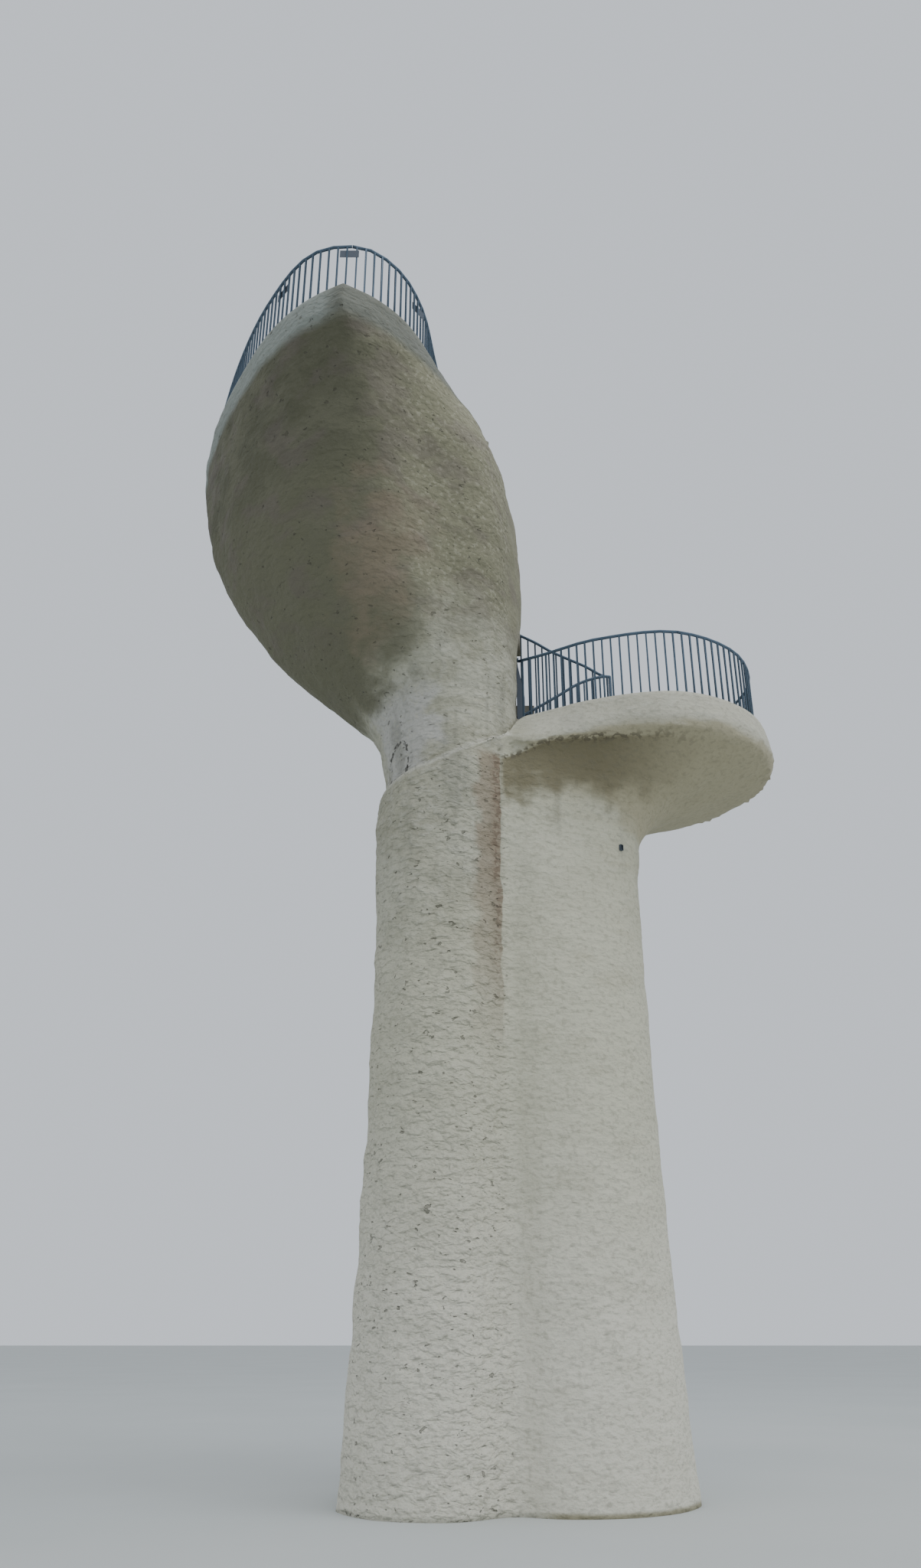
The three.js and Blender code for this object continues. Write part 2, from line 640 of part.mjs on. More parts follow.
// The floor runs on through the doorway as its sill.
const SILL_CLEARANCE = 5;
const SILL_BACK_Y = 2500;
const [sillRightX, sillLeftX] = DOOR_COLUMNS.map((column) => {
  const u = column / COLUMNS;
  return [lowerBody.point(u, 0).x, lowerBody.inside(u, 0, TRUNK_WALL).x];
});
const sillLeft = Math.max(...sillLeftX) + SILL_CLEARANCE;
const sillRight = Math.min(...sillRightX) - SILL_CLEARANCE;
const sillOutline = rectangle(sillLeft, 0, sillRight, SILL_BACK_Y);
const sill = slab(sillOutline, 0, GROUND_FLOOR_THICK).intersect(trunkOutside);
addPart(
  "ground_floor",
  geometryOf(slab(whole, 0, GROUND_FLOOR_THICK).intersect(trunkInside).add(sill)),
  FLOOR_CONCRETE,
);

// A well is cut well past both faces of its floor.
const WELL_CUT = 500;
const lowerWell = slab(
  rectangle(-2500, FLIGHT_ONE_SIDES[0], FLIGHT_ONE_TOP_X, FLIGHT_ONE_SIDES[1]),
  LOWER_FLOOR_Z - WELL_CUT,
  LOWER_FLOOR_Z + WELL_CUT,
);
const lowerLeafInside = coreOf(lowerBody, LOWER_ROWS.slice(TRUNK_TOP_ROW), SHELL_WALL + JOINT);
addPart(
  "lower_floor",
  geometryOf(
    slab(whole, LOWER_FLOOR_Z - FLOOR_THICK, LOWER_FLOOR_Z)
      .intersect(lowerLeafInside)
      .subtract(stemCore)
      .subtract(lowerWell),
  ),
  FLOOR_CONCRETE,
);

// Stairwell of the upper floor: round the turn and the last leg of flight two.
const WELL_CLEARANCE = 20;
const wellLeftX = FLIGHT_TWO_TURN.x - TURN_RADIUS - FLIGHT_TWO_WIDTH / 2 - WELL_CLEARANCE;
const wellRightX = FLIGHT_TWO_TURN.x - TURN_RADIUS + FLIGHT_TWO_WIDTH / 2 + WELL_CLEARANCE;
const wellBackY = FLIGHT_TWO_START.y + FLIGHT_TWO_WIDTH / 2 + WELL_CLEARANCE;
const wellFrontY = FLIGHT_TWO_TURN.y - flightTwoLastLeg - JOINT;
const wellInner = {
  x: FLIGHT_TWO_TURN.x + 100,
  y: FLIGHT_TWO_START.y - FLIGHT_TWO_WIDTH / 2 - WELL_CLEARANCE,
};
const UPPER_WELL = [
  [wellInner.x, wellBackY],
  [wellLeftX, wellBackY],
  [wellLeftX, wellFrontY],
  [wellRightX, wellFrontY],
  [wellRightX, FLIGHT_TWO_TURN.y - 90],
  [wellInner.x, wellInner.y],
];
const upperLeafInside = coreOf(upperBody, UPPER_ROWS.slice(STEM_TOP_ROW), SHELL_WALL + JOINT);
addPart(
  "upper_floor",
  geometryOf(
    slab(whole, UPPER_FLOOR_Z - FLOOR_THICK, UPPER_FLOOR_Z)
      .intersect(upperLeafInside)
      .subtract(slab(UPPER_WELL, UPPER_FLOOR_Z - WELL_CUT, UPPER_FLOOR_Z + WELL_CUT)),
  ),
  FLOOR_CONCRETE,
);

// Railings: a round top tube on upright balusters.

const RAIL_SIDES = 6;

function tubeAlong(curve, diameter, steps) {
  const ring = new THREE.Shape();
  ring.absarc(0, 0, diameter / 2, 0, 2 * Math.PI, false);
  return solidOf(
    new THREE.ExtrudeGeometry(ring, {
      steps,
      curveSegments: RAIL_SIDES,
      extrudePath: curve,
    }),
  );
}

// A stretch of a curve, from one share of its length to another.
function stretch(curve, from, to, points = 24) {
  const places = Array.from({ length: points + 1 }, (_, i) => curve.getPointAt(mix(from, to, i / points)));
  return new THREE.CatmullRomCurve3(places);
}

// One panel of railing over a level floor: its top tube follows the line.
function railPanel(line, floorZ, tubeStep = 260) {
  const length = line.getLength();
  const count = Math.round(length / BALUSTER_SPACING);
  let panel = tubeAlong(line, RAIL_TUBE, Math.max(2, Math.round(length / tubeStep)));
  for (let i = 0; i < count; i++) {
    const share = (i + 0.5) / count;
    const top = line.getPointAt(share);
    const along = line.getTangentAt(share);
    const feet = floorZ + JOINT;
    const bar = new THREE.BoxGeometry(BALUSTER, BALUSTER, top.z - feet);
    bar.rotateZ(Math.atan2(along.y, along.x));
    bar.translate(top.x, top.y, (top.z + feet) / 2);
    panel = panel.add(solidOf(bar));
  }
  return geometryOf(panel);
}

function addRailing(prefix, line, floorZ, names) {
  const gap = RAIL_JOINT / 2 / line.getLength();
  names.forEach((name, i) => {
    const from = i / names.length + gap;
    const to = (i + 1) / names.length - gap;
    addPart(`${prefix}_${name}`, railPanel(stretch(line, from, to), floorZ), RAIL_PAINT, 0.5, 0.3);
  });
}

const RAIL_AXIS = RAIL_HEIGHT - RAIL_TUBE / 2;
// The lower railing starts beside the near portal's jamb and then follows the edge of the floor.
const LOWER_RAIL_START = [235, -340];
const LOWER_RAIL_RANGE = [0.085, 0.575];
const LOWER_RAIL_POINTS = 40;
const lowerRailLine = new THREE.CatmullRomCurve3([
  at(...LOWER_RAIL_START, LOWER_FLOOR_Z + RAIL_AXIS),
  ...Array.from({ length: LOWER_RAIL_POINTS }, (_, i) => {
    const u = mix(...LOWER_RAIL_RANGE, i / (LOWER_RAIL_POINTS - 1));
    const edge = lowerBody.inside(u, 1, RAIL_INSET);
    return at(edge.x, edge.y, LOWER_FLOOR_Z + RAIL_AXIS);
  }),
]);
addRailing(
  "lower_railing",
  lowerRailLine,
  LOWER_FLOOR_Z,
  ["front", "right", "tip", "back"],
);

// The upper railing is a smooth loop that cuts the pointed tip short.
const UPPER_RAIL = [
  [-1060, -1800], [-1240, -2880], [-1560, -3570], [-2030, -3940], [-2720, -3860], [-3540, -2910],
  [-4450, -1040], [-4720, -100], [-4450, 900], [-3760, 1570], [-2900, 1930], [-2000, 1930],
  [-1230, 1560], [-780, 800], [-780, -100], [-930, -1000],
];
const upperRailLine = new THREE.CatmullRomCurve3(
  UPPER_RAIL.map(([x, y]) => at(x, y, UPPER_FLOOR_Z + RAIL_AXIS)),
  true,
  "centripetal",
);
addRailing(
  "upper_railing",
  upperRailLine,
  UPPER_FLOOR_Z,
  ["front_right", "tip", "left", "back_left", "back", "right"],
);

// Guard between the two flights at the lower platform: it comes up along flight one, turns round its end
// post and goes up along flight two.
const GUARD_FRONT_Y = 160;
const GUARD_BACK_Y = 290;
const GUARD_POST_X = 1700;
const frontHandrail = [
  [240, 10405], [645, 10660], [900, 10825], [1180, 11010], [1420, 11110], [1600, 11150],
];
const backHandrail = [
  [1600, 11240], [1330, 11410], [1035, 11560], [790, 11690], [550, 11850], [260, 12010],
];
const stairGuardLine = new THREE.CatmullRomCurve3(
  [
    ...frontHandrail.map(([x, z]) => at(x, GUARD_FRONT_Y, z)),
    at(GUARD_POST_X, (GUARD_FRONT_Y + GUARD_BACK_Y) / 2, 11185),
    ...backHandrail.map(([x, z]) => at(x, GUARD_BACK_Y, z)),
  ],
  false,
  "centripetal",
);
addPart("stair_guard", railPanel(stairGuardLine, LOWER_FLOOR_Z, 50), RAIL_PAINT, 0.5, 0.3);

// Guard round the upper stairwell, open where the stair comes out.
const GUARD_SET_BACK = 60;
const wellGuardCorners = [
  [wellRightX + GUARD_SET_BACK, wellFrontY + 100],
  [wellRightX + GUARD_SET_BACK, FLIGHT_TWO_TURN.y - 120],
  [wellInner.x + GUARD_SET_BACK, wellInner.y],
  [wellInner.x + GUARD_SET_BACK, wellBackY + GUARD_SET_BACK],
  [wellLeftX - GUARD_SET_BACK, wellBackY + GUARD_SET_BACK],
  [wellLeftX - GUARD_SET_BACK, wellFrontY + 100],
];
const wellGuardSides = wellGuardCorners.slice(1).map((corner, i) => {
  const [from, to] = [wellGuardCorners[i], corner];
  return new THREE.LineCurve3(
    at(...from, UPPER_FLOOR_Z + RAIL_AXIS),
    at(...to, UPPER_FLOOR_Z + RAIL_AXIS),
  );
});
const wellGuard = wellGuardSides
  .map((side) => solidOf(railPanel(side, UPPER_FLOOR_Z)))
  .reduce((all, side) => all.add(side));
addPart("upper_well_guard", geometryOf(wellGuard), RAIL_PAINT, 0.5, 0.3);

export default tower;
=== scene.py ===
import math

import bmesh
import bpy
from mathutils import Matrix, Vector


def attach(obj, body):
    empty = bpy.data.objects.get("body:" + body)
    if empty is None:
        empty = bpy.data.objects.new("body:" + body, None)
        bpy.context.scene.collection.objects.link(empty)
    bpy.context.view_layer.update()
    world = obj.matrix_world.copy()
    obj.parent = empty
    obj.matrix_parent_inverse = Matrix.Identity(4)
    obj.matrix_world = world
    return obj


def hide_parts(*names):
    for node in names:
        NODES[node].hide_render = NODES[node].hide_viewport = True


# Observation tower shaped like two leaves on one stem, of sprayed and trowelled concrete, with painted
# steel railings. Metres, +Z up, -Y the front, the ground at Z 0.

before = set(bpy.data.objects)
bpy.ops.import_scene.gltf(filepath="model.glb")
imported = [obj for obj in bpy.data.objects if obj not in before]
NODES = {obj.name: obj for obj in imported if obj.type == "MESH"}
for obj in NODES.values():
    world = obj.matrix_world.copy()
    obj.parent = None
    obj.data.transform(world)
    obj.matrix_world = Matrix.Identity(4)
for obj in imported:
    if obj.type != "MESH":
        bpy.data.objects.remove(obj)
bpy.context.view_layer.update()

TRUNK_TOP_Z = 8.3
LOWER_FLOOR_Z = 10.05
RAIL_HEIGHT = 1.1
# Where the trunk's two lobes meet on its front.
CREASE_X = -0.05
# Between which heights the trunk's walls and the stem's lie.
TRUNK_HEIGHTS = (-0.01, TRUNK_TOP_Z + 0.01)
STEM_HEIGHTS = (8.2, 14.3)
# The stem's walls look away from its axis, and higher up the bowl's look away from a point over its floor.
STEM_AXIS = Vector((-0.745, 0.04, 0))
BOWL_HEART = Vector((-1.9, -0.9, 16))
BOWL_FROM_Z = 11.2

# The upper leaf's pointed tip: what counts as its corner, and how far it is drawn out.
TIP = (-2.25, -4.24)
TIP_FROM_Z = 14.21
TIP_REACH = 0.06
TIP_PULL = (0.01, -0.06, 0)


# View and light

EYE = (-0.65, -15.9, 1.8)
LOOK_UP = math.radians(25)
FOCAL_SHARE = 0.7515
SENSOR_HEIGHT = 24
VIEW_DEPTH = 500
LIT_POINT = Vector((0, 0, 9))
GROUND_WIDTH = 400

bpy.ops.object.camera_add(location=EYE, rotation=(math.pi / 2 + LOOK_UP, 0, 0))
camera = bpy.context.object
camera.data.sensor_fit = "VERTICAL"
camera.data.sensor_height = SENSOR_HEIGHT
camera.data.lens = FOCAL_SHARE * SENSOR_HEIGHT
camera.data.clip_end = VIEW_DEPTH
bpy.context.scene.camera = camera


def linear(code):
    """An sRGB hex colour, as the shader wants it."""
    parts = [int(code[i:i + 2], 16) / 255 for i in (1, 3, 5)]
    return tuple(c / 12.92 if c <= 0.04045 else ((c + 0.055) / 1.055) ** 2.4 for c in parts) + (1,)


def add(tree, kind, *feeds, out=0, **settings):
    """Adds a node with its settings and what feeds its inputs, and gives one of its outputs."""
    node = tree.nodes.new(kind)
    for name, value in settings.items():
        setattr(node, name, value)
    for socket, value in feeds:
        if isinstance(value, bpy.types.NodeSocket):
            tree.links.new(value, node.inputs[socket])
        else:
            node.inputs[socket].default_value = value
    return node.outputs[out] if len(node.outputs) else node


def new_material(name):
    material = bpy.data.materials.new(name)
    material.use_nodes = True
    material.node_tree.nodes.clear()
    return material, material.node_tree


def surround():
    """Even, slightly blue light from all round."""
    world = bpy.data.worlds.new("studio_surround")
    world.use_nodes = True
    world.node_tree.nodes.clear()
    light = add(world.node_tree, "ShaderNodeBackground", ("Color", linear("#d3d9e1")), ("Strength", 1.12))
    add(world.node_tree, "ShaderNodeOutputWorld", ("Surface", light))
    bpy.context.scene.world = world


def softbox(name, place, size, power):
    bpy.ops.object.light_add(type="AREA", location=place)
    lamp = bpy.context.object
    lamp.name = name
    lamp.data.size = size
    lamp.data.energy = power
    lamp.data.color = linear("#f4f6fa")[:3]
    lamp.rotation_euler = (LIT_POINT - Vector(place)).to_track_quat("-Z", "Y").to_euler()


surround()
softbox("softbox_above", (6, -12, 36), size=26, power=4600)
softbox("softbox_on_the_right", (24, -14, 18), size=20, power=1500)


# Making pieces from copies of the frame's nodes

# How squarely a face looks in a direction, how many metres it looks out from an axis or a point, and
# how much of an upright edge's length is rise, each at least.
SQUARE_ON = 0.9
OUTWARD = 0.3
UPRIGHT = 0.6
# Steel is rounded where it bends more than the first angle, and shaded smooth where it bends less than
# the second.
SHARP = math.radians(60)
SMOOTH_BELOW = math.radians(50)


def deselect():
    bpy.ops.object.select_all(action="DESELECT")


def done_editing():
    bpy.ops.object.mode_set(mode="OBJECT")


def nodes_named(*starts):
    return [name for name in NODES if name.startswith(starts)]


def copy_of(node_names, name, gap):
    """One mesh from copies of the nodes, welded where they are closer than the gap."""
    deselect()
    for node in node_names:
        NODES[node].select_set(True)
    bpy.context.view_layer.objects.active = NODES[node_names[0]]
    bpy.ops.object.duplicate()
    for copy in bpy.context.selected_objects:
        copy.parent = None
        for key in list(copy.keys()):
            del copy[key]
    bpy.context.view_layer.objects.active = bpy.context.selected_objects[0]
    if len(node_names) > 1:
        bpy.ops.object.join()
    piece = bpy.context.view_layer.objects.active
    piece.name = piece.data.name = name
    piece.data.materials.clear()
    bpy.ops.object.mode_set(mode="EDIT")
    bpy.ops.mesh.select_all(action="SELECT")
    bpy.ops.mesh.remove_doubles(threshold=gap)
    done_editing()
    return piece


def choose(piece, kind, test):
    """Leaves only the faces, edges or verts of the piece selected that pass the test, in edit mode."""
    bpy.context.view_layer.objects.active = piece
    if piece.mode != "EDIT":
        deselect()
        piece.select_set(True)
        bpy.ops.object.mode_set(mode="EDIT")
    bpy.ops.mesh.select_mode(type={"faces": "FACE", "edges": "EDGE", "verts": "VERT"}[kind])
    bpy.ops.mesh.select_all(action="DESELECT")
    mesh = bmesh.from_edit_mesh(piece.data)
    for element in getattr(mesh, kind):
        if test(element):
            element.select_set(True)
    bmesh.update_edit_mesh(piece.data)


def apply_modifier(piece, kind, **settings):
    bpy.context.view_layer.objects.active = piece
    modifier = piece.modifiers.new(kind.lower(), kind)
    for name, value in settings.items():
        setattr(modifier, name, value)
    bpy.ops.object.modifier_apply(modifier=modifier.name)


def is_upright(edge):
    a, b = (v.co for v in edge.verts)
    return abs(b.z - a.z) > UPRIGHT * (b - a).length


def face_angle(edge):
    return edge.calc_face_angle(0) if len(edge.link_faces) == 2 else 0


def is_tip(vert):
    return vert.co.z > TIP_FROM_Z and math.hypot(vert.co.x - TIP[0], vert.co.y - TIP[1]) < TIP_REACH


def on_trunk_outside(face):
    middle = face.calc_center_median()
    return face.normal.x * middle.x + face.normal.y * middle.y > OUTWARD


def on_stem_outside(face):
    middle = face.calc_center_median()
    heart = BOWL_HEART if middle.z > BOWL_FROM_Z else STEM_AXIS + Vector((0, 0, middle.z))
    return face.normal.dot(middle - heart) > OUTWARD


# The walls' smooth skins

# The walls' solids stand less than this apart.
WELD_GAP = 0.0012
# How far off the trunk's top, and how far over the ground, a vert still belongs to it.
SEAM_REACH = 0.002
FOOT_REACH = 0.03
# Two triangles that bend less than this become one face.
ALMOST_FLAT = math.radians(60)
# Edges sharper than each angle get that much more crease.
CREASES = ((math.radians(34), 0.8), (math.radians(68), 0.2))


def welded_shell(node_names, name):
    """The nodes welded into one shell, without the faces that they turned to each other, in edit mode."""
    piece = copy_of(node_names, name, WELD_GAP)
    choose(piece, "faces", lambda face: False)
    bpy.ops.mesh.select_interior_faces()
    bpy.ops.mesh.delete(type="FACE")
    return piece


def smooth_shell(piece, is_outside, heights, cuts):
    """Rounds a welded shell; cuts are the rings added between the heights, where its faces are tall."""
    choose(piece, "faces", lambda face: True)
    bpy.ops.mesh.tris_convert_to_quads(face_threshold=ALMOST_FLAT, shape_threshold=ALMOST_FLAT)
    choose(piece, "verts", is_tip)
    bpy.ops.transform.translate(value=TIP_PULL)
    low, high = heights
    choose(piece, "edges", lambda edge: is_upright(edge)
           and all(low < v.co.z < high for v in edge.verts)
           and all(len(face.verts) == 4 and is_outside(face) for face in edge.link_faces))
    bpy.ops.mesh.subdivide(number_cuts=cuts)
    for angle, crease in CREASES:
        choose(piece, "edges", lambda edge: face_angle(edge) > angle or all(is_tip(v) for v in edge.verts))
        bpy.ops.transform.edge_crease(value=crease)
    done_editing()
    apply_modifier(piece, "SUBSURF", levels=2, render_levels=2)


# The hand-laid surface

# Between which heights the two platforms' lips lie, and how sharply a lip's edges bend at least.
LIP_HEIGHTS = ((9.15, 9.75), (14.0, 14.45))
LIP_BEND = math.radians(16)


def relief(name, size, noise):
    """A cloud whose bumps are about size metres across."""
    cloud = bpy.data.textures.new(name, "CLOUDS")
    cloud.noise_scale = size
    cloud.noise_depth = 1
    cloud.noise_type = noise
    return cloud


SWELLS = relief("hand_laid_swells", 0.6, "SOFT_NOISE")
SLAPS = relief("slapped_on_plaster", 0.13, "HARD_NOISE")
CRUMBS = relief("crumbled_edge", 0.09, "HARD_NOISE")


def roughen(piece, texture, where, stretch, strength, level):
    """Pushes the surface in and out as a trowel leaves it, over a range of strength metres.

    Stretch says how much the marks are drawn out, and level which grey of the cloud stays where it is.
    """
    bpy.ops.object.empty_add()
    guide = bpy.context.object
    guide.scale = stretch
    bpy.context.view_layer.update()
    deselect()
    apply_modifier(
        piece, "DISPLACE", texture=texture, texture_coords="OBJECT", texture_coords_object=guide,
        mid_level=level, strength=strength, vertex_group=where,
    )
    bpy.data.objects.remove(guide)


def weigh(piece, name, parts):
    """A vertex group; parts lists which faces or edges get which weight."""
    group = piece.vertex_groups.new(name=name)
    for kind, test, weight in parts:
        choose(piece, kind, test)
        bpy.context.scene.tool_settings.vertex_group_weight = weight
        piece.vertex_groups.active_index = group.index
        bpy.ops.object.vertex_group_assign()
    done_editing()
    return name


def is_lip_edge(edge):
    return face_angle(edge) > LIP_BEND and any(low < edge.verts[0].co.z < high for low, high in LIP_HEIGHTS)


def lay_by_hand(piece, is_floated):
    """Swells and slaps on the walls, less where they were floated, least on top, and crumbled lips."""
    laid = weigh(piece, "laid_by_hand", [
        ("faces", lambda face: True, 1.0),
        ("faces", is_floated, 0.6),
        ("faces", lambda face: face.normal.z > SQUARE_ON, 0.1),
    ])
    roughen(piece, SWELLS, laid, stretch=(1, 1, 0.9), strength=0.08, level=0.5)
    roughen(piece, SLAPS, laid, stretch=(1.4, 1.4, 0.8), strength=0.016, level=0.3)
    lip = weigh(piece, "crumbled_lip", [("edges", is_lip_edge, 1.0)])
    roughen(piece, CRUMBS, lip, stretch=(1, 1, 1), strength=0.09, level=0.35)
    piece.vertex_groups.clear()
    deselect()
    piece.select_set(True)
    bpy.context.view_layer.objects.active = piece
    bpy.ops.object.shade_smooth()


def stem_and_upper_leaf():
    names = nodes_named("stem_wall", "upper_leaf")
    piece = welded_shell(names, "stem_and_upper_leaf")
    smooth_shell(piece, on_stem_outside, STEM_HEIGHTS, cuts=3)
    lay_by_hand(piece, is_floated=lambda face: False)
    return piece, names


def trunk_and_lower_leaf():
    """The trunk and the leaf over it, opened at the level where they touch and bridged into one skin."""
    trunk = welded_shell(nodes_named("trunk_wall"), "trunk_and_lower_leaf")
    done_editing()
    leaf = welded_shell(nodes_named("lower_leaf", "sheath"), "leaf")
    for shell in (trunk, leaf):
        choose(shell, "faces", lambda face: abs(face.normal.z) > SQUARE_ON and all(
            abs(v.co.z - TRUNK_TOP_Z) < SEAM_REACH for v in face.verts))
        bpy.ops.mesh.delete(type="FACE")
        done_editing()
    deselect()
    leaf.select_set(True)
    trunk.select_set(True)
    bpy.context.view_layer.objects.active = trunk
    bpy.ops.object.join()
    choose(trunk, "faces", lambda face: True)
    bpy.ops.mesh.remove_doubles(threshold=WELD_GAP)
    choose(trunk, "edges", lambda edge: len(edge.link_faces) == 1)
    bpy.ops.mesh.bridge_edge_loops()
    smooth_shell(trunk, on_trunk_outside, TRUNK_HEIGHTS, cuts=7)
    lay_by_hand(trunk, is_floated=lambda face: face.calc_center_median().x > CREASE_X)
    # The foot stands level on the ground.
    choose(trunk, "faces", lambda face: all(v.co.z < FOOT_REACH for v in face.verts))
    bpy.ops.transform.resize(value=(1, 1, 0), center_override=(0, 0, 0))
    done_editing()
    return trunk, nodes_named("trunk_wall", "lower_leaf", "sheath")


# Steel

def railing(node):
    """A panel's copy whose hexagon rail and square bars are cut back to round tube and round bar."""
    shortest_bar, cut = 0.03, 0.006
    least_corner, most_corner = math.radians(40), math.radians(100)
    piece = copy_of([node], node + "_tubes", gap=0.0001)
    choose(piece, "edges", lambda edge: edge.is_convex and edge.calc_length() > shortest_bar
           and least_corner < face_angle(edge) < most_corner)
    bpy.ops.mesh.bevel(offset=cut, segments=1, clamp_overlap=False)
    done_editing()
    deselect()
    piece.select_set(True)
    bpy.ops.object.shade_smooth_by_angle(angle=SMOOTH_BELOW)
    return piece


def named(name):
    """Names what was just added and settles it where it stands, ready to be worked on."""
    piece = bpy.context.object
    piece.name = piece.data.name = name
    bpy.ops.object.transform_apply()
    return piece


def block(name, middle, size, turn=0):
    deselect()
    bpy.ops.mesh.primitive_cube_add(size=1, location=middle, rotation=(0, 0, turn), scale=size)
    return named(name)


def round_bar(name, middle, radius, length, sides, lean=0):
    deselect()
    bpy.ops.mesh.primitive_cylinder_add(
        vertices=sides, radius=radius, depth=length, location=middle, rotation=(0, lean, 0))
    return named(name)


def break_edges(piece, width, segments, is_wanted=lambda edge: True):
    """Rounds the sharp edges that are wanted and ends the work on the piece."""
    choose(piece, "edges", lambda edge: face_angle(edge) > SHARP and is_wanted(edge))
    bpy.ops.mesh.bevel(offset=width, segments=segments)
    done_editing()


PLATE_SIZE = (0.27, 0.008, 0.13)
PLATE_BORDER = 0.012
# Their names, middles and turns: the front one under the handrail's top, the others at its shoulders.
PLATES = (
    ("front_bare_plate", (-2.22, -3.97, 15.63), 0),
    ("left_bare_plate", (-3.25, -3.3, 15.6), -0.9),
    ("right_bare_plate", (-1.285, -2.976, 15.6), 0.95),
)


def bare_plate(name, middle, turn):
    """A bare pressed plate with a raised border and broken edges."""
    width, thickness, height = PLATE_SIZE
    piece = block(name, middle, PLATE_SIZE, turn)
    choose(piece, "faces", lambda face: face.calc_area() > 0.9 * width * height)
    bpy.ops.mesh.inset(thickness=PLATE_BORDER, depth=-thickness / 4, use_individual=True)
    break_edges(piece, width=thickness / 5, segments=2)
    return piece


def jamb_shadow_strip():
    """A dark strip of sheet steel between the stem's opening and the first post: painted shade standing in
    for the shaded jamb of the opening.
    """
    x, y, foot = 0.232, -0.372, LOWER_FLOOR_Z + 0.01
    width, thickness, height = 0.07, 0.01, 1.08
    # How far its outer edge stands out at each level, from the foot up.
    bulges = (0.02, 0.04, 0.05, 0.05, 0.035, 0.01, -0.015, -0.04, -0.055)
    rise = height / (len(bulges) - 1)
    piece = block("jamb_shadow_strip", (x, y, foot + height / 2), (width, thickness, height))
    choose(piece, "edges", is_upright)
    bpy.ops.mesh.subdivide(number_cuts=len(bulges) - 2)
    for step, bulge in enumerate(bulges):
        level = foot + step * rise
        choose(piece, "verts", lambda v: v.co.x > x and abs(v.co.z - level) < rise / 5)
        bpy.ops.transform.translate(value=(bulge, 0, 0))
    break_edges(piece, width=0.002, segments=2)
    return piece


def rail_flange():
    """The disc that fixes the lower handrail's end to the stem."""
    middle = (0.226, -0.34, LOWER_FLOOR_Z + RAIL_HEIGHT)
    rim, hub_height = 0.012, 0.004
    piece = round_bar("rail_flange", middle, radius=0.038, length=0.014, sides=24, lean=math.pi / 2)
    choose(piece, "faces", lambda face: abs(face.normal.x) > SQUARE_ON)
    bpy.ops.mesh.inset(thickness=rim, depth=hub_height, use_individual=True)
    break_edges(piece, width=0.003, segments=2)
    return piece


def guard_end_post():
    """The tube under the bend of the stair guard's handrail, as thick as the rail and rounded into it."""
    x, y = 1.703, 0.222
    height, sunk = 1.135, 0.005
    middle = (x, y, LOWER_FLOOR_Z + (height - sunk) / 2)
    piece = round_bar("guard_end_post", middle, radius=0.023, length=height + sunk, sides=20)
    break_edges(piece, width=0.016, segments=4, is_wanted=lambda edge: edge.verts[0].co.z > middle[2])
    bpy.ops.object.shade_smooth_by_angle(angle=SMOOTH_BELOW)
    return piece


def weep_outlet():
    """A short square pipe in the trunk's right lobe that lets rainwater out, 5 by 9 cm: its dark open mouth
    is real shade, deepened by dark paint as painted shade.
    """
    middle, size, turn = (1.593, -0.517, 7.98), (0.048, 0.08, 0.085), math.radians(39)
    wall, taper, mouth_depth = 0.004, 0.0005, 0.026
    outward = Vector((math.sin(turn), -math.cos(turn), 0))
    piece = block("weep_outlet", middle, size, turn)
    choose(piece, "faces", lambda face: face.normal.dot(outward) > SQUARE_ON)
    bpy.ops.mesh.inset(thickness=wall)
    bpy.ops.mesh.inset(thickness=taper, depth=-mouth_depth)
    break_edges(piece, width=0.0015, segments=2, is_wanted=lambda edge: edge.is_convex)
    return piece


# Materials

# A Mix node's sockets when it mixes colours: how much, the colour under and over, and the result.
SHARE, UNDER, OVER, MIXED = 0, 6, 7, 2

# The wall's marks: how long each is in metres, how many times flatter than long (under 1 it is taller),
# its detail and its warp.
CONCRETE_MARKS = (
    ("clouds", 2.2, 1, 3, 0),
    ("blotches", 0.55, 1.6, 6, 0.3),
    ("smears", 0.7, 2.2, 5, 0.2),
    ("runs", 0.3, 0.14, 5, 0),
    ("drags", 0.15, 1.9, 2.5, 0.25),
    ("tears", 0.11, 1.7, 2.5, 0.4),
    ("crumbs", 0.07, 1.25, 2.5, 0.1),
    # Coarser than real sand, so that it shows.
    ("grit", 0.011, 1, 2, 0),
)

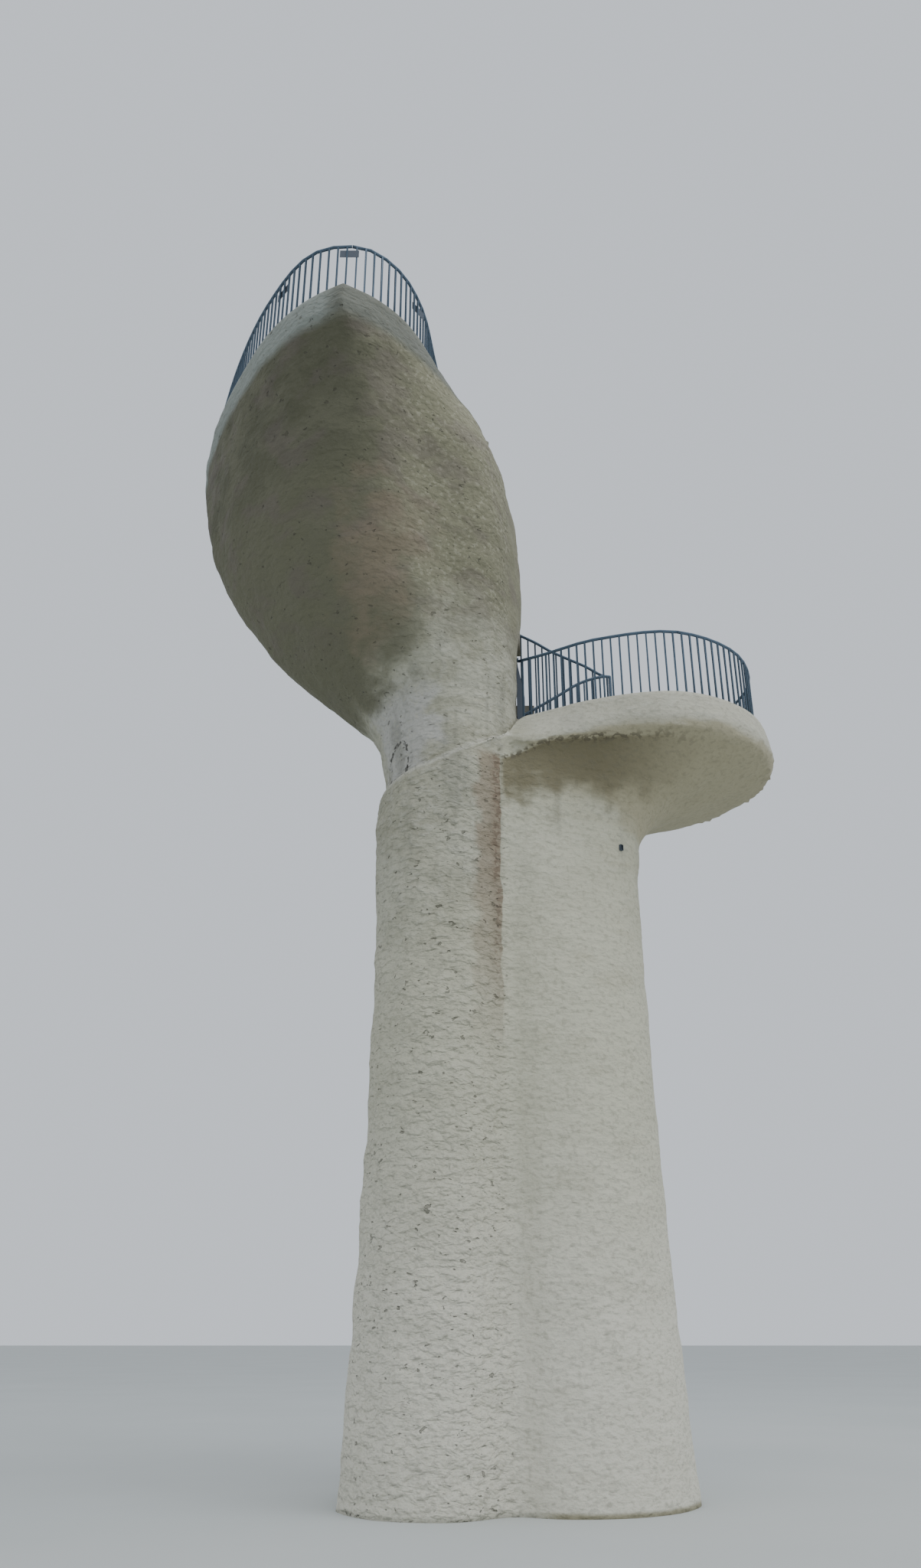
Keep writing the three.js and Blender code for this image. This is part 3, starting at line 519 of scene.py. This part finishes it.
# Each share runs from none at the first value to its full strength at the second.
CONCRETE_SHARES = (
    # The mix, and what hand and trowel left in it
    ("warmth", "clouds", 0.38, 0.62, 1.0),
    ("dullness", "blotches", 0.45, 0.66, 0.5),
    ("mottled", "blotches", 0.40, 0.66, 0.8),
    ("dragged", "drags", 0.52, 0.64, 0.3),
    # Tears: sunk in the relief, and darkened in their hollows with painted shade
    ("tears_with_painted_shade", "tears", 0.67, 0.73, 0.55),
    ("grimy", "crumbs", 0.5, 0.68, 0.24),
    ("proud", "crumbs", 0.46, 0.34, 0.3),
    ("broken", "crumbs", 0.46, 0.56, 0.9),
    ("sandy", "grit", 0.58, 0.72, 0.25),
    # Paler coats on the trunk, the stem's patch and the leaf's edge, and what the rain ran down
    ("painted", "ragged_z", 8.3, 5.6, 0.62),
    ("foot", "ragged_z", 5.0, 1.2, 0.75),
    ("floated", "z", 9.9, 8.6, 0.6),
    ("patched", "ragged_x", -0.85, -1.2, 0.5),
    ("band", "z", 9.38, 9.55, 0.45),
    ("runny", "runs", 0.5, 0.68, 0.42),
    # Painted shade on the upper leaf's underside, over its left half and darker on its right margin, with
    # mauve smears and a brown bloom; its kerb, with a painted highlight on its left
    ("high", "up_left", 11.2, 12.05, 1.0),
    ("left_half", "right_of_bowl_shade", 0.65, -0.45, 1.0),
    ("over_neck", "ragged_z", 10.3, 11.9, 1.0),
    ("sloping", "facing_z", 0.75, 0.25, 1.0),
    ("painted_shade_right_margin", "x", -0.5, 0.15, 0.32),
    ("lower_bowl", "z", 13.6, 12.0, 0.65),
    ("mauve", "smears", 0.48, 0.66, 0.38),
    ("bloom", "off_bloom", 1.3, 0.3, 0.55),
    ("kerb", "z", 14.12, 14.3, 0.85),
    ("below_kerb", "z", 14.3, 14.14, 1.0),
    ("painted_highlight_left_rim", "x", -2.3, -2.6, 1.0),
    # Painted shade under the lower leaf and painted shadow under and along its crumbled lip, and a painted
    # highlight on the ledge's edge
    ("underside", "ragged_facing", 0.05, -0.45, 1.0),
    ("low", "z", 10.3, 9.9, 0.85),
    ("painted_shadow_under_lip", "under_lip_shadow_z", 8.28, 8.8, 0.95),
    ("below_lip", "over_lip", 0.02, -0.02, 1.0),
    ("painted_lip_shadow", "off_lip", 0.07, 0.01, 0.9),
    ("painted_highlight_on_ledge", "off_ledge", 0.08, 0.02, 0.5),
    # The rust strip left of the crease, the darker run and the bleeding in it, and the patch's cracks
    ("strip_left", "wobbly_x", -0.52, -0.38, 0.55),
    ("strip_right", "strip_x", -0.09, -0.11, 1.0),
    ("strip_low", "z", 4.5, 7.6, 1.0),
    ("strip_top", "z", 9.25, 9.1, 1.0),
    ("run_left", "strip_x", -0.3, -0.2, 0.4),
    ("bleed_left", "strip_x", -0.23, -0.17, 0.8),
    ("cracked", "off_ring", 0.15, 0.07, 0.9),
    # Where on the tower
    ("front", "facing_y", -0.15, -0.4, 1.0),
    ("left_of_crease", "x", 0.1, -0.15, 1.0),
    ("right_of_crease", "x", -0.14, -0.02, 1.0),
    ("near_crease", "x", 3.1, 1.2, 1.0),
    ("left_of_lip", "x", 0.12, 0.0, 1.0),
    ("right_of_stem", "x", 0.1, 0.5, 1.0),
    ("above_leaf", "z", 9.2, 9.9, 1.0),
    ("below_floor", "z", 10.3, 10.0, 1.0),
    ("below_neck", "z", 10.4, 9.9, 1.0),
    ("over_ledge", "z", 8.93, 9.0, 1.0),
    ("up_where_runs", "z", 6.5, 9.5, 1.0),
)

# What shows only where several shares meet.
CONCRETE_MEETINGS = (
    ("tears_with_painted_shade", "tears_with_painted_shade", "rough"),
    ("proud", "proud", "rough"),
    # Painted shade on the bowl's faces that do not look up, over the neck
    ("painted_shade_high_underside", "sloping", "over_neck"),
    ("painted_shade_right_margin", "painted_shade_right_margin", "painted_shade_high_underside"),
    ("mauve", "mauve", "painted_shade_high_underside"),
    # Painted shade over the bowl's left half, up to its kerb
    ("painted_bowl_shade", "high", "left_half", "below_kerb"),
    ("lower_bowl", "lower_bowl", "painted_bowl_shade"),
    ("lighter_painted_bowl_shade", "painted_bowl_shade", "mottled"),
    ("painted_highlight_left_rim", "painted_highlight_left_rim", "kerb"),
    ("bloom", "bloom", "front"),
    ("patched", "patched", "over_ledge", "below_neck", "front"),
    ("floated", "floated", "right_of_crease"),
    ("band", "band", "right_of_stem", "below_floor"),
    ("runny", "runny", "up_where_runs"),
    ("painted_shade_low_underside", "underside", "low", "right_of_stem"),
    ("painted_shadow_under_lip", "painted_shadow_under_lip", "below_lip", "right_of_crease", "front", "near_crease"),
    ("painted_lip_shadow", "painted_lip_shadow", "right_of_crease", "front", "broken", "near_crease"),
    ("painted_highlight_on_ledge", "painted_highlight_on_ledge", "front", "left_of_lip"),
    ("strip", "strip_left", "strip_right", "strip_low", "strip_top", "front"),
    ("run", "strip", "run_left"),
    ("bleeding", "strip", "bleed_left", "broken"),
    ("cracked", "cracked", "over_ledge", "front", "broken"),
)

# Clean concrete's colour, and the layers over it, the lowest first.
CLEAN_CONCRETE = "#a8a590"
CONCRETE_LAYERS = (
    ("warmth", "#b4b2a0"),
    ("dullness", "#989581"),
    ("dragged", "#c3c1b3"),
    ("floated", "#cac8b2"),
    ("painted", "#cdcab4"),
    ("foot", "#dedacb"),
    ("patched", "#c2c0c1"),
    ("runny", "#76756a"),
    ("band", "#cfccbd"),
    # Painted shade on the lower leaf's faces that look down
    ("painted_shade_low_underside", "#aaa286"),
    # Painted shadow on the wall under the lower leaf's lip
    ("painted_shadow_under_lip", "#777057"),
    # Painted shadow along the lower leaf's lip, broken up by the crumbs
    ("painted_lip_shadow", "#5c5544"),
    # A painted highlight along the ledge's edge
    ("painted_highlight_on_ledge", "#dad7ca"),
    # Painted shade on the bowl's faces that do not look up, over the neck
    ("painted_shade_high_underside", "#89866f"),
    # Painted shade, darker still, on the right margin of the bowl's underside
    ("painted_shade_right_margin", "#716e5a"),
    ("proud", "#bdb9a4"),
    # Painted shade over the bowl's underside, lighter low on the bowl and mottled
    ("painted_bowl_shade", "#5f5e4c"),
    ("lower_bowl", "#77755f"),
    ("lighter_painted_bowl_shade", "#706e5b"),
    ("mauve", "#716562"),
    ("bloom", "#92826f"),
    ("kerb", "#696c65"),
    # A painted highlight: the kerb paler on its left, where light from the left falls on it
    ("painted_highlight_left_rim", "#90968f"),
    ("strip", "#85705a"),
    ("run", "#6f5946"),
    ("bleeding", "#5c3d2b"),
    ("grimy", "#6f6c5c"),
    # Painted shade in the tears' hollows
    ("tears_with_painted_shade", "#504d40"),
    ("cracked", "#35322b"),
    ("sandy", "#716e62"),
)


def concrete_marks(tree, place):
    marks = {}
    for name, length, flatness, detail, warp in CONCRETE_MARKS:
        drawn = add(tree, "ShaderNodeMapping", ("Vector", place), ("Scale", (1, 1, flatness)))
        marks[name] = add(
            tree, "ShaderNodeTexNoise", ("Vector", drawn), ("Scale", 1 / length), ("Detail", detail),
            ("Distortion", warp))
    return marks


def concrete_lines(tree, x, z):
    """The lines that stains and edges keep to: an X for each height, or a height for each X."""
    lines = {}
    for name, along, start, end, first, last in (
        # The painted shade on the bowl ends at a line that leans left as it climbs from the neck.
        ("bowl_shade_end", z, 10.8, 12.0, -1.3, -1.85),
        # The lower leaf's lip drops towards the crease.
        ("lip_edge", x, -0.15, 0.7, 9.12, 9.42),
        # How much of its way round the stem the ledge has behind it.
        ("round_stem", x, -1.8, 0.0, 0.0, 1.0),
    ):
        lines[name] = add(tree, "ShaderNodeMapRange", ("Value", along), ("From Min", start),
                          ("From Max", end), ("To Min", first), ("To Max", last))
    # The ledge's edge climbs round the stem along a parabola, from the left to where it meets the leaf.
    climb = add(tree, "ShaderNodeMath", (0, lines["round_stem"]), (1, lines["round_stem"]),
                operation="MULTIPLY")
    lines["ledge_edge"] = add(
        tree, "ShaderNodeMapRange", ("Value", climb), ("To Min", 8.88), ("To Max", 9.57))
    return lines


def concrete_spots(tree, place):
    """How many of its own radii a point lies from the middle of each round spot on the front."""
    spots = {}
    for name, x, z, radii_in_a_metre_across, radii_in_a_metre_up in (
        # A brown bloom over a metre wide on the bowl, just over the neck.
        ("from_bloom", -1.75, 11.7, 1.6, 1.2),
        # A repair patch on the left of the stem, whose outline is cracked.
        ("from_patch", -1.53, 9.17, 6.4, 4.2),
    ):
        scale = Vector((radii_in_a_metre_across, 0, radii_in_a_metre_up))
        spot = add(tree, "ShaderNodeMapping", ("Vector", place), ("Scale", scale),
                   ("Location", -scale * Vector((x, 0, z))))
        spots[name] = add(tree, "ShaderNodeVectorMath", (0, spot), out="Value", operation="LENGTH")
    return spots


def concrete_places(tree, place, marks):
    """Where a point is for the stains. The blotches shift their borders, so that none is straight."""
    facing = add(tree, "ShaderNodeNewGeometry", out="Normal")
    x, z = (add(tree, "ShaderNodeSeparateXYZ", ("Vector", place), out=axis) for axis in ("X", "Z"))
    facing_y, facing_z = (
        add(tree, "ShaderNodeSeparateXYZ", ("Vector", facing), out=axis) for axis in ("Y", "Z"))
    lines = concrete_lines(tree, x, z)
    spots = concrete_spots(tree, place)
    places = {"x": x, "z": z, "facing_y": facing_y, "facing_z": facing_z, **spots}
    for name, value, less in (
        ("shift", marks["blotches"], 0.5),
        ("streaks", marks["runs"], 0.5),
        ("from_bowl_shade", x, lines["bowl_shade_end"]),
        ("from_lip", z, lines["lip_edge"]),
        ("from_ledge", z, lines["ledge_edge"]),
        ("from_ring", spots["from_patch"], 1.0),
    ):
        places[name] = add(tree, "ShaderNodeMath", (0, value), (1, less), operation="SUBTRACT")
    for name, shift, factor, start in (
        ("ragged_x", "shift", 1.3, "x"),
        ("ragged_z", "shift", 1.2, "z"),
        ("ragged_facing", "shift", 0.5, "facing_z"),
        ("wobbly_x", "shift", 0.5, "x"),
        ("strip_x", "shift", 0.12, "x"),
        ("right_of_bowl_shade", "shift", 1.3, "from_bowl_shade"),
        ("up_left", "x", -0.7, "ragged_z"),
        # The painted shadow on the wall under the lower leaf reaches down to a streaky line that climbs to
        # the right.
        ("streaky_z", "streaks", 0.5, "ragged_z"),
        ("under_lip_shadow_z", "x", -0.15, "streaky_z"),
        ("over_lip", "shift", 0.12, "from_lip"),
        ("over_edge", "shift", 0.06, "from_ledge"),
        ("off_bloom", "shift", 3.0, "from_bloom"),
        ("over_ring", "shift", 1.1, "from_ring"),
    ):
        places[name] = add(tree, "ShaderNodeMath", (0, places[shift]), (1, factor), (2, places[start]),
                           operation="MULTIPLY_ADD")
    for name, value in (("off_lip", "over_lip"), ("off_ledge", "over_edge"), ("off_ring", "over_ring")):
        places[name] = add(tree, "ShaderNodeMath", (0, places[value]), operation="ABSOLUTE")
    return places


def concrete_shares(tree, measures):
    """How strongly everything that lies over the clean concrete shows at a point."""
    shares = {}
    for name, measure, none, full, strength in CONCRETE_SHARES:
        shares[name] = add(
            tree, "ShaderNodeMapRange", ("Value", measures[measure]), ("From Min", none),
            ("From Max", full), ("To Max", strength), interpolation_type="SMOOTHSTEP")
    # The wall is rough left of the crease, and over the leaf a little farther, up to the stem's right edge.
    rough_stem = add(tree, "ShaderNodeMath", (0, shares["above_leaf"]), (1, shares["left_of_lip"]),
                     operation="MULTIPLY")
    shares["rough"] = add(tree, "ShaderNodeMath", (0, shares["left_of_crease"]), (1, rough_stem),
                          operation="MAXIMUM")
    for name, first, *others in CONCRETE_MEETINGS:
        share = shares[first]
        for other in others:
            share = add(tree, "ShaderNodeMath", (0, share), (1, shares[other]), operation="MULTIPLY")
        shares[name] = share
    return shares


def concrete_relief(tree, marks, shares, z):
    """Light and shade from drags up to 8 cm proud, tears 3 cm deep, crumbs of 16 mm and grains of 3 mm."""
    hollow = add(tree, "ShaderNodeMath", (0, shares["tears_with_painted_shade"]), (1, -0.6), (2, marks["drags"]),
                 operation="MULTIPLY_ADD")
    roughness = add(tree, "ShaderNodeMapRange", ("Value", shares["rough"]), ("To Min", 0.4))
    # The stem and the bowl were rubbed down more than the trunk.
    rubbed = add(tree, "ShaderNodeMapRange", ("Value", z), ("From Min", 8.9), ("From Max", 9.3),
                 ("To Min", 1.0), ("To Max", 0.55))
    for depth in (roughness, rubbed):
        hollow = add(tree, "ShaderNodeMath", (0, hollow), (1, depth), operation="MULTIPLY")
    normal = add(tree, "ShaderNodeBump", ("Height", hollow), ("Distance", 0.085), ("Strength", 1.0))
    for mark, height, strength in (("crumbs", 0.016, 0.7), ("grit", 0.003, 0.6)):
        normal = add(tree, "ShaderNodeBump", ("Height", marks[mark]), ("Distance", height),
                     ("Strength", strength), ("Normal", normal))
    return normal


def sprayed_concrete():
    """Concrete sprayed on mesh and dragged by hand: matt, torn and gritty, with run-off and rust, painted
    shade under both leaves and painted highlights on edges.
    """
    material, tree = new_material("sprayed_concrete")
    place = add(tree, "ShaderNodeTexCoord", out="Object")
    marks = concrete_marks(tree, place)
    places = concrete_places(tree, place, marks)
    shares = concrete_shares(tree, {**marks, **places})
    colour = linear(CLEAN_CONCRETE)
    for share, code in CONCRETE_LAYERS:
        colour = add(tree, "ShaderNodeMix", (SHARE, shares[share]), (UNDER, colour), (OVER, linear(code)),
                     out=MIXED, data_type="RGBA")
    normal = concrete_relief(tree, marks, shares, places["z"])
    shader = add(tree, "ShaderNodeBsdfPrincipled", ("Base Color", colour), ("Roughness", 0.94),
                 ("Normal", normal))
    add(tree, "ShaderNodeOutputMaterial", ("Surface", shader))
    return material


def floated_concrete():
    """Concrete floated level and walked on: closer and smoother than the walls, with dust in its pores."""
    scuff_length, pore_width = 0.3, 0.008
    material, tree = new_material("floated_concrete")
    place = add(tree, "ShaderNodeTexCoord", out="Object")
    scuffs = add(tree, "ShaderNodeTexNoise", ("Vector", place), ("Scale", 1 / scuff_length), ("Detail", 6))
    pores = add(tree, "ShaderNodeTexNoise", ("Vector", place), ("Scale", 1 / pore_width), ("Detail", 2))
    open_pores = add(tree, "ShaderNodeMapRange", ("Value", pores), ("From Min", 0.6), ("From Max", 0.72),
                     ("To Max", 0.5))
    colour = add(tree, "ShaderNodeMix", (SHARE, scuffs), (UNDER, linear("#7b776a")),
                 (OVER, linear("#9c988b")), out=MIXED, data_type="RGBA")
    colour = add(tree, "ShaderNodeMix", (SHARE, open_pores), (UNDER, colour), (OVER, linear("#565347")),
                 out=MIXED, data_type="RGBA")
    normal = add(tree, "ShaderNodeBump", ("Height", pores), ("Distance", 0.002), ("Strength", 0.5))
    shader = add(tree, "ShaderNodeBsdfPrincipled", ("Base Color", colour), ("Roughness", 0.85),
                 ("Normal", normal))
    add(tree, "ShaderNodeOutputMaterial", ("Surface", shader))
    return material


def brushed_on_paint(name, thin, thick):
    """Gloss paint brushed on steel outdoors: chalked by the sun, with rust coming through in specks."""
    chalk_patch, brush_mark, rust_speck = 0.1, 0.006, 0.02
    glossy, chalked = 0.5, 0.75
    material, tree = new_material(name)
    place = add(tree, "ShaderNodeTexCoord", out="Object")
    chalk = add(tree, "ShaderNodeTexNoise", ("Vector", place), ("Scale", 1 / chalk_patch), ("Detail", 5))
    along_bars = add(tree, "ShaderNodeMapping", ("Vector", place), ("Scale", (1, 1, 0.1)))
    brush = add(tree, "ShaderNodeTexNoise", ("Vector", along_bars), ("Scale", 1 / brush_mark), ("Detail", 2))
    specks = add(tree, "ShaderNodeTexNoise", ("Vector", place), ("Scale", 1 / rust_speck), ("Detail", 3))
    rusty = add(tree, "ShaderNodeMapRange", ("Value", specks), ("From Min", 0.68), ("From Max", 0.73),
                ("To Max", 0.85))
    colour = add(tree, "ShaderNodeMix", (SHARE, chalk), (UNDER, linear(thin)), (OVER, linear(thick)),
                 out=MIXED, data_type="RGBA")
    colour = add(tree, "ShaderNodeMix", (SHARE, rusty), (UNDER, colour), (OVER, linear("#5b3d2a")),
                 out=MIXED, data_type="RGBA")
    dullness = add(tree, "ShaderNodeMapRange", ("Value", chalk), ("To Min", glossy), ("To Max", chalked))
    normal = add(tree, "ShaderNodeBump", ("Height", brush), ("Distance", 0.0006), ("Strength", 0.5))
    shader = add(tree, "ShaderNodeBsdfPrincipled", ("Base Color", colour), ("Roughness", dullness),
                 ("Normal", normal))
    add(tree, "ShaderNodeOutputMaterial", ("Surface", shader))
    return material


def pale_screed():
    """A pale studio floor of screed: even, matt, faintly clouded."""
    cloud_width = 4
    material, tree = new_material("pale_screed")
    place = add(tree, "ShaderNodeTexCoord", out="Object")
    clouds = add(tree, "ShaderNodeTexNoise", ("Vector", place), ("Scale", 1 / cloud_width), ("Detail", 3))
    colour = add(tree, "ShaderNodeMix", (SHARE, clouds), (UNDER, linear("#bcc0bd")),
                 (OVER, linear("#c8cbc8")), out=MIXED, data_type="RGBA")
    shader = add(tree, "ShaderNodeBsdfPrincipled", ("Base Color", colour), ("Roughness", 0.9))
    add(tree, "ShaderNodeOutputMaterial", ("Surface", shader))
    return material


wall_concrete = sprayed_concrete()
floor_concrete = floated_concrete()
rail_paint = brushed_on_paint("blue_grey_rail_paint", thin="#405364", thick="#526779")
# Dark grey paint for the plates, also the painted shade of the jamb strip and of the weep outlet's mouth
plate_and_shade_paint = brushed_on_paint("grey_plate_paint_and_painted_shade", thin="#38414d", thick="#48525e")


# The ground and the pieces

bpy.ops.mesh.primitive_plane_add(size=GROUND_WIDTH)
ground = bpy.context.object
ground.name = "pale_ground"
ground.data.materials.append(pale_screed())


def finish_piece(piece, replaced, material):
    piece.data.materials.append(material)
    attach(piece, "root")
    if replaced:
        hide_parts(*replaced)


for piece, replaced in (stem_and_upper_leaf(), trunk_and_lower_leaf()):
    finish_piece(piece, replaced, wall_concrete)
for node in nodes_named("lower_railing", "upper_railing", "stair_guard", "upper_well_guard"):
    finish_piece(railing(node), [node], rail_paint)
for node in nodes_named("ground_floor", "lower_floor", "upper_floor", "stair_lower", "stair_upper"):
    NODES[node].data.materials.clear()
    NODES[node].data.materials.append(floor_concrete)
for name, middle, turn in PLATES:
    finish_piece(bare_plate(name, middle, turn), [], plate_and_shade_paint)
finish_piece(jamb_shadow_strip(), [], plate_and_shade_paint)
finish_piece(rail_flange(), [], rail_paint)
finish_piece(guard_end_post(), [], rail_paint)
finish_piece(weep_outlet(), [], plate_and_shade_paint)
